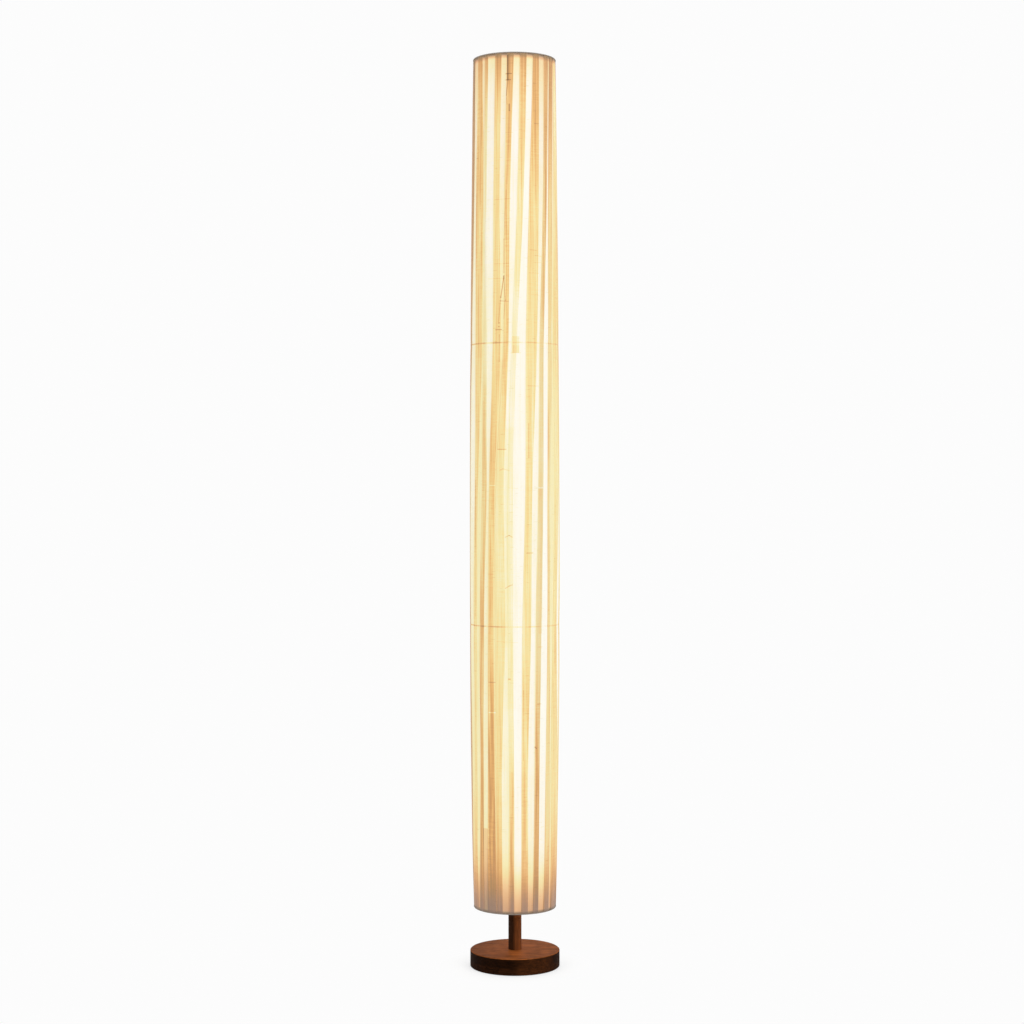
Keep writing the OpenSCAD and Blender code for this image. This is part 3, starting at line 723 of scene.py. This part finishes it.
def cloth_material():
    mat, t = material("pleated_cloth")
    angle, past_left, past_right, to_next, dark, stripe, rest, grey = (t.attribute(tag) for tag in TAGS)
    z = t.split(object_place(t))[2]
    arc = t.mul(angle, MM_PER_DEGREE)
    place = t.join(arc, z, t.mul(stripe, STRIPE_STEP))
    flat_place = t.join(arc, z)

    # Threads and flaws: lines of weft, finer lines, upright threads and streaks, clouds, slubs
    weft = t.grain(place, WEFT, 3.0, 0.6)
    fine = t.grain(place, FINE_WEFT, 2.0, 0.6)
    warp = t.grain(place, WARP)
    streak = t.grain(place, STREAK)
    cloud = t.grain(place, CLOUD)
    ripples = t.fade(t.noise(t.vec("MULTIPLY", place, RIPPLE)), 0.42, 0.66)
    slub_place = t.vec("ADD", t.vec("MULTIPLY", place, SLUB), SLUB_SHIFT)
    slub = t.fade(t.noise(slub_place, 1.0, 1.0, 0.4), 0.68, 0.76)
    # Cut lengths of cloth: each piece of a stripe has its own tone
    piece = t.math("FLOOR", t.add(t.mul(z, 1 / TONE_LENGTH), t.mul(stripe, 0.377)))
    lot = t.node("TexWhiteNoise", {0: t.join(piece, stripe)}, noise_dimensions="2D").outputs[0]
    tone = t.spread(lot, 1.0)

    # Light held back by a fold's layers
    band = t.mul(t.fade(past_right, -0.9, 0.7, ends=(1, 0)), t.fade(past_left, 0.0, 1.8, ends=(0.5, 1)))
    beside = t.math("SUBTRACT", 1.0, band)
    uneven = t.add(t.mul(weft, t.add(0.1, t.mul(ripples, 0.5))), t.mul(tone, 0.1))
    uneven = t.add(uneven, t.add(t.mul(warp, 0.55), t.mul(streak, 1.3)))
    held = t.mul(t.mul(dark, band), t.add(1.0, uneven))

    # And by painted shadows along its left edge and where the open stretch tucks under the next fold, then
    # by the open stretch, seams, rings and hems
    fold_edge_shadow = t.fade(past_left, 0.0, 1.0, ends=(1, 0))
    tuck_shadow = t.fade(to_next, 0.0, 2.2, ends=(1, 0))
    marks = t.mul(fold_edge_shadow, t.add(0.15, t.mul(dark, 0.45)))
    marks = t.add(marks, t.mul(tuck_shadow, t.add(0.15, t.mul(rest, 0.5))))
    marks = t.add(marks, t.mul(rest, beside))
    seams = line_marks(t, flat_place)
    marks = t.add(marks, seams)
    marks = t.add(marks, patch_marks(t, flat_place))
    marks = t.add(marks, ring_marks(t, angle, arc, z))
    marks = t.add(marks, hem_marks(t, z))
    threads = t.add(t.add(t.mul(weft, 0.3), t.mul(fine, 0.3)), t.add(t.mul(warp, 0.45), t.mul(cloud, 0.4)))
    threads = t.add(t.add(threads, t.mul(streak, 0.45)), t.mul(slub, 0.35))
    shade = t.add(t.mul(held, 1.85), t.add(marks, t.add(threads, 0.06)))
    level = column_light(t, z)

    # Thick cloth and dim light both hold back blue the most and green the least
    def passed(dim, thick, stops):
        lit = t.mul(t.math("POWER", level, dim), t.math("EXPONENT", t.mul(shade, -thick)))
        return t.ramp(t.held(lit), [(x, (v, v, v)) for x, v in stops])

    red = passed(1.0, 1.0, RED_LIGHT)
    green = passed(0.95, 0.9, GREEN_LIGHT)
    blue = passed(1.27, 1.3, BLUE_LIGHT)
    # High up, the open stretches that hold back light are a little pinker
    upper = t.mul(t.fade(z, 1150.0, 1450.0), t.mul(rest, beside))
    green = t.mul(green, t.math("SUBTRACT", 1.0, t.mul(upper, 0.1)))
    blue = t.mul(blue, t.add(1.0, t.mul(upper, 0.3)))
    greyed = t.math("SUBTRACT", 1.0, t.mul(grey, t.mul(band, 1.6)))
    glow = t.join(t.mul(red, greyed), t.mul(green, greyed), blue)

    colour = t.mix(t.held(held), OPEN_COLOUR, FOLDED_COLOUR)
    colour = t.mix(t.fade(held, 1.5, 2.1), colour, THICK_COLOUR)
    low = t.fade(z, 108.0, 150.0, ends=(1, 0))
    colour = t.mix(t.mul(low, t.fade(held, 0.0, 0.8)), colour, LOW_COLOUR)
    colour = t.mix(t.fade(seams, 0.6, 2.4), colour, SEAM_COLOUR)
    speck = t.add(1.0, t.add(t.mul(weft, 0.16), t.add(t.mul(fine, 0.2), t.mul(slub, -0.15))))
    colour = t.tone(colour, speck)
    wobble = t.mul(t.noise(t.vec("MULTIPLY", place, WOBBLE), 1.0, 1.0, 0.5), 4.0)
    across = t.math("SINE", t.add(t.mul(arc, WEAVE), wobble))
    upward = t.math("SINE", t.add(t.mul(z, WEAVE), wobble))
    weave = t.add(t.mul(t.add(across, upward), 0.25), slub)
    normal = t.bump(t.add(weave, t.mul(weft, 1.4)), 0.5, 0.00012)
    sheen = {"Sheen_Weight": 0.15, "Sheen_Roughness": 0.5}
    t.surface(colour, 0.85, normal, glow, **sheen, Specular_IOR_Level=0.25)
    return mat


def build_sleeve():
    verts, faces, values, width = pleated_sheet()
    ob = mesh_piece("pleated_sleeve", verts.tolist(), faces, cloth_material(), "shade")
    for tag, data in values.items():
        attribute = ob.data.attributes.new(tag, "FLOAT", "POINT")
        attribute.data.foreach_set("value", data.astype(np.float32))
    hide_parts("shade_fabric")
    return ob, width


sleeve, cut_width = build_sleeve()


# ---- Hem tape and its stitches

# Radii of the tape's outer and inner legs, in millimetres
TAPE_OUTER = 68.75
TAPE_INNER = 63.7
TAPE_SIDES = 192
# The tape's section: radius and height from its long edge to the fold over the rim and back
TAPE_SECTION = [
    (TAPE_OUTER - 0.12, 0.0), (TAPE_OUTER, 0.25), (TAPE_OUTER, 0.75), (TAPE_OUTER - 0.12, 1.25),
    (TAPE_OUTER - 0.45, 1.7), (TAPE_OUTER - 1.1, 1.95), (TAPE_OUTER - 2.4, 2.0),
    (TAPE_INNER + 1.2, 1.95), (TAPE_INNER + 0.4, 1.6), (TAPE_INNER, 1.0), (TAPE_INNER + 0.1, 0.35),
    (TAPE_INNER + 0.4, 0.05),
]
TAPE_HEIGHT = 2.0
# Waves round the tape, and how far they move it up and outwards
TAPE_WAVES = (5, 9, 14, 22, 31, 43)
TAPE_LIFT = 0.12
TAPE_SWELL = 0.05
STITCHES = 132
STITCH_SIDES = 6
# Half of a stitch in radians, and the radius that its middle line lies on
STITCH_HALF = 1.0 / 68.8
STITCH_RADIUS = 68.78
# A stitch's section along its length: place from -1 to 1, and half its thickness
STITCH_SHAPE = [(-1, 0.08), (-0.6, 0.2), (0, 0.26), (0.6, 0.2), (1, 0.08)]
# A stitch rises by this much from its middle to its end, and lies this far inside the tape's rim
STITCH_RISE = 0.06
STITCH_INSET = 0.5
THREAD_STRETCH = (3, 3, 9)


def tape_material():
    mat, t = material("hem_tape")
    place = object_place(t)
    xyz = t.split(place)
    arc = t.mul(t.math("ARCTAN2", xyz[1], xyz[0]), 68.5)
    cord = t.math("SINE", t.mul(arc, 6.0))
    rib = t.math("SINE", t.mul(xyz[2], 9.0))
    cloud = t.grain(t.join(arc, xyz[2]), (0.06, 1, 1), 3.0, 0.6)
    value = t.add(1.0, t.add(t.mul(cloud, 0.35), t.mul(cord, 0.06)))
    colour = t.tone((0.25, 0.205, 0.165), value)
    normal = t.bump(t.add(cord, t.mul(rib, 0.6)), 0.6, 0.00015)
    t.surface(colour, 0.85, normal, Sheen_Weight=0.1)
    return mat


def hem_tape(name, node, mat, inside_down):
    """A tape folded over the cloth's rim, its outer leg a little longer than its inner one."""
    low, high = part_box(node)
    lot = np.random.default_rng(len(name))
    phases = lot.uniform(0, 6.28, len(TAPE_WAVES))
    verts = []
    for r, h in TAPE_SECTION:
        if inside_down:
            height = high.z * 1000 - TAPE_HEIGHT + h
        else:
            height = low.z * 1000 + TAPE_HEIGHT - h
        for i in range(TAPE_SIDES):
            a = 2 * math.pi * i / TAPE_SIDES
            wave = sum(math.sin(a * n + phase) for n, phase in zip(TAPE_WAVES, phases)) / len(TAPE_WAVES)
            lift = TAPE_LIFT * wave * (1 if h < 1 else 0.3)
            radius = r + TAPE_SWELL * wave
            verts.append((radius * math.cos(a) * MM, radius * math.sin(a) * MM, (height + lift) * MM))
    rows = len(TAPE_SECTION)
    faces = grid_faces(rows, TAPE_SIDES, flip=not inside_down)
    last = (rows - 1) * TAPE_SIDES
    for i in range(TAPE_SIDES):
        j = (i + 1) % TAPE_SIDES
        quad = [last + i, last + j, j, i]
        faces.append(quad if inside_down else quad[::-1])
    ob = mesh_piece(name, verts, faces, mat, "shade")
    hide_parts(node)
    return ob


def stitches(name, z, mat):
    """Short stitches that stand a little proud of the tape's outer leg."""
    verts, faces = [], []
    for i in range(STITCHES):
        middle = 2 * math.pi * i / STITCHES
        for s, thick in STITCH_SHAPE:
            a = middle + s * STITCH_HALF
            for k in range(STITCH_SIDES):
                turn = 2 * math.pi * k / STITCH_SIDES
                r = STITCH_RADIUS + thick * math.cos(turn)
                height = z + thick * math.sin(turn) + STITCH_RISE * s
                verts.append((r * math.cos(a) * MM, r * math.sin(a) * MM, height * MM))
        rows = len(STITCH_SHAPE)
        first = i * rows * STITCH_SIDES
        last = first + (rows - 1) * STITCH_SIDES
        faces += grid_faces(rows, STITCH_SIDES, first)
        faces.append([first + k for k in range(STITCH_SIDES)])
        faces.append([last + k for k in range(STITCH_SIDES)][::-1])
    return mesh_piece(name, verts, faces, mat, "shade")


def thread_material():
    mat, t = material("thread")
    twist = t.math("SINE", t.split(object_place(t, THREAD_STRETCH))[2])
    colour = t.mix(t.fade(twist, -1, 1), (0.36, 0.30, 0.25), (0.45, 0.38, 0.31))
    t.surface(colour, 0.7, t.bump(twist, 0.4, 0.00005))
    return mat


tape = tape_material()
thread = thread_material()
top_tape = hem_tape("upper_hem_tape", "top_hem", tape, True)
bottom_tape = hem_tape("lower_hem_tape", "bottom_hem", tape, False)
upper_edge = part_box("top_hem")[0].z * 1000
lower_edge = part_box("bottom_hem")[1].z * 1000
top_stitches = stitches("upper_hem_stitches", upper_edge + STITCH_INSET, thread)
bottom_stitches = stitches("lower_hem_stitches", lower_edge - STITCH_INSET, thread)


# ---- Materials of the CAD nodes

BASE_LIGHT = (0.30, 0.088, 0.022)
BASE_DARK = (0.075, 0.024, 0.008)
STEM_LIGHT = (0.24, 0.072, 0.018)
STEM_DARK = (0.13, 0.04, 0.011)
# Colour of the painted shade up the stem's left side
STEM_LEFT_SHADE = (0.021, 0.007, 0.002)
# The grain's axis: 0 is across the lamp, 2 is upright
BASE_GRAIN = 0
STEM_GRAIN = 2


def wood(name, light, dark, grain_axis):
    """Oiled walnut whose growth rings, fibres and pores run along grain_axis.

    The caller finishes the surface from the parts that this returns."""
    mat, t = material(name)
    place = object_place(t)
    along = tuple(0.012 if i == grain_axis else 0.13 for i in range(3))
    fibre = tuple(0.03 if i == grain_axis else 1.7 for i in range(3))
    pore = tuple(0.09 if i == grain_axis else 3.1 for i in range(3))
    ring_place = t.vec("MULTIPLY", place, along)
    sway = t.node("TexNoise", {0: ring_place, 2: 1.0, 3: 2.0}).outputs["Color"]
    rings = t.noise(t.vec("ADD", ring_place, t.vec("MULTIPLY", sway, (7, 7, 7))), 0.9, 4.0, 0.6)
    fibres = t.noise(t.vec("MULTIPLY", place, fibre), 1.0, 3.0, 0.6)
    pores = t.fade(t.noise(t.vec("MULTIPLY", place, pore), 1.0, 1.0, 0.4), 0.6, 0.72)
    figure = t.add(t.mul(t.fade(rings, 0.36, 0.64), 0.65), t.mul(t.fade(fibres, 0.32, 0.68), 0.35))
    colour = t.mix(figure, dark, light)
    colour = t.mix(t.mul(pores, 0.55), colour, tuple(0.35 * c for c in dark))
    normal = t.bump(t.add(fibres, t.mul(pores, -1.0)), 0.35, 0.0002)
    rough = t.add(0.62, t.mul(pores, 0.2))
    return mat, t, place, figure, colour, normal, rough


def front_turn(t, place, wander):
    """Radians round the axis from the front, to the right, with an uneven border."""
    xyz = t.split(place)
    uneven = t.spread(t.noise(t.vec("MULTIPLY", place, (0.05, 0.05, 0.02))), wander)
    return t.add(t.math("ARCTAN2", xyz[0], t.mul(xyz[1], -1.0)), uneven)


def base_wood():
    mat, t, place, figure, colour, normal, rough = wood("walnut_base", BASE_LIGHT, BASE_DARK, BASE_GRAIN)
    up = t.split(t.node("NewGeometry").outputs["Normal"])[2]
    x, _, z = t.split(place)
    top = t.fade(up, 0.3, 0.7)
    figure_clouds_and_left_shade = t.fade(t.noise(t.vec("MULTIPLY", place, (0.035, 0.05, 0.05))), 0.3, 0.7, ends=(0.75, 1.25))
    # Painted shade: the top is made darker towards its left side
    figure_clouds_and_left_shade = t.mul(figure_clouds_and_left_shade, t.fade(x, -75.0, 0.0, ends=(0.6, 1)))
    # Painted shade: the turned side is made far darker than the top, with a painted highlight as a redder,
    # lighter stretch to the right of the front, and turning marks low down
    turn = front_turn(t, place, 0.2)
    painted_side_highlight = t.mul(t.fade(turn, -0.1, 0.3), t.fade(turn, 0.75, 1.1, ends=(1, 0.2)))
    marks = t.fade(t.noise(t.join(3.0, 5.0, t.mul(z, 0.9))), 0.42, 0.6)
    marks = t.mul(marks, t.fade(z, 9.0, 14.0, ends=(0.09, 0)))
    side = t.add(t.add(0.06, marks), t.mul(painted_side_highlight, 0.15))
    # Painted highlight: the chamfer round the top edge is made lighter
    rim = t.mul(t.fade(up, 0.4, 0.65), t.fade(up, 0.8, 0.95, ends=(0.3, 0)))
    side = t.mul(side, t.math("SUBTRACT", 1.0, top))
    colour = t.tone(colour, t.add(t.mul(top, figure_clouds_and_left_shade), t.add(rim, side)))
    # Light that falls out of the sleeve's lower end
    away = t.length(t.vec("MULTIPLY", place, (1, 1, 0)))
    fall = t.mul(t.fade(away, 10.0, 95.0, ends=(0.12, 0.03)), top)
    warm = t.join(fall, t.mul(fall, 0.33), t.mul(fall, 0.07))
    glow = t.tint(t.mix(figure, (0.35, 0.22, 0.14), (1.0, 0.9, 0.8)), warm)
    t.surface(colour, rough, normal, glow, Specular_IOR_Level=0.02)
    return mat


def stem_wood():
    mat, t, place, figure, colour, normal, rough = wood("walnut_stem", STEM_LIGHT, STEM_DARK, STEM_GRAIN)
    # Painted shade: a dark strip up its front's left side. Painted light: a paler foot
    turn = front_turn(t, place, 0.3)
    shade_strip = t.mul(t.fade(turn, -2.4, -1.9), t.fade(turn, -0.45, 0.35, ends=(1, 0)))
    shaded_wood = t.tone(STEM_LEFT_SHADE, t.add(0.7, t.mul(figure, 0.6)))
    colour = t.mix(t.mul(shade_strip, 0.95), colour, shaded_wood)
    foot_light = t.fade(t.split(place)[2], 26.0, 60.0, ends=(1.2, 1))
    t.surface(t.tone(colour, foot_light), rough, normal, Specular_IOR_Level=0.05)
    return mat


def metal(name, tone, rough, brushed=(1.0, 1.0, 1.0), strength=0.12, tarnish=0.2):
    """Turned or drawn metal: fine lines, a little tarnish."""
    mat, t = material(name)
    place = object_place(t)
    lines = t.noise(t.vec("MULTIPLY", place, brushed), 1.0, 3.0, 0.6)
    cloud = t.noise(t.vec("MULTIPLY", place, (0.06, 0.06, 0.06)), 1.0, 2.0, 0.5)
    colour = t.tone(tone, t.add(1.0, t.add(t.spread(lines, 0.18), t.spread(cloud, -tarnish))))
    roughness = t.add(rough, t.add(t.spread(lines, 0.14), t.spread(cloud, 0.12)))
    t.surface(colour, roughness, t.bump(lines, strength, 0.0001), Metallic=1.0)
    return mat


def moulded(name, tone, rough, grain=1.2, strength=0.2, glow=None):
    """Moulded plastic, rubber or paint: a fine even grain and faint clouds."""
    mat, t = material(name)
    place = object_place(t)
    fine = t.noise(place, grain, 3.0, 0.6)
    cloud = t.noise(place, 0.05, 2.0, 0.5)
    value = t.add(1.0, t.add(t.spread(fine, 0.14), t.spread(cloud, 0.25)))
    light = None if glow is None else t.tone(glow, value)
    roughness = t.add(rough, t.spread(fine, 0.15))
    t.surface(t.tone(tone, value), roughness, t.bump(fine, strength, 0.0001), light)
    return mat


paints = {
    "walnut_base": base_wood(),
    "walnut_stem": stem_wood(),
    "pad": moulded("felt_pad", (0.06, 0.055, 0.05), 0.95, 2.5, 0.6),
    "iron": metal("cast_iron", (0.16, 0.16, 0.165), 0.6, (0.5, 0.5, 0.5), 0.4, tarnish=0.4),
    "zinc": metal("zinc", (0.62, 0.63, 0.66), 0.32, (0.8, 0.8, 0.8), 0.2),
    "brass": metal("brass", (0.72, 0.50, 0.20), 0.28, (0.3, 0.3, 4.0)),
    "black_plastic": moulded("black_plastic", (0.03, 0.03, 0.032), 0.5),
    "white_plastic": moulded("white_plastic", (0.58, 0.56, 0.51), 0.45),
    "aluminium": metal("aluminium", (0.78, 0.78, 0.79), 0.34, (0.4, 0.4, 5.0)),
    "led_board": moulded("led_board", (0.82, 0.82, 0.78), 0.5, 1.0, 0.1),
    "led_chip": moulded("led_chip", (0.85, 0.75, 0.4), 0.4, 2.0, 0.1, (1.0, 0.85, 0.5)),
    "opal": moulded("opal_tube", (0.22, 0.21, 0.19), 0.35, 0.8, 0.08, (0.78, 0.62, 0.38)),
    "wire": moulded("wire_sleeve", (0.75, 0.73, 0.68), 0.45, 2.0, 0.1),
    "ring_wire": moulded("lacquered_wire", (0.62, 0.54, 0.44), 0.38, 1.6, 0.15),
}
slots = {entry["node"]: entry["material_slot"] for entry in frame["record"]["subparts"]}
for name, ob in nodes.items():
    if slots.get(name) in paints:
        ob.data.materials.clear()
        ob.data.materials.append(paints[slots[name]])
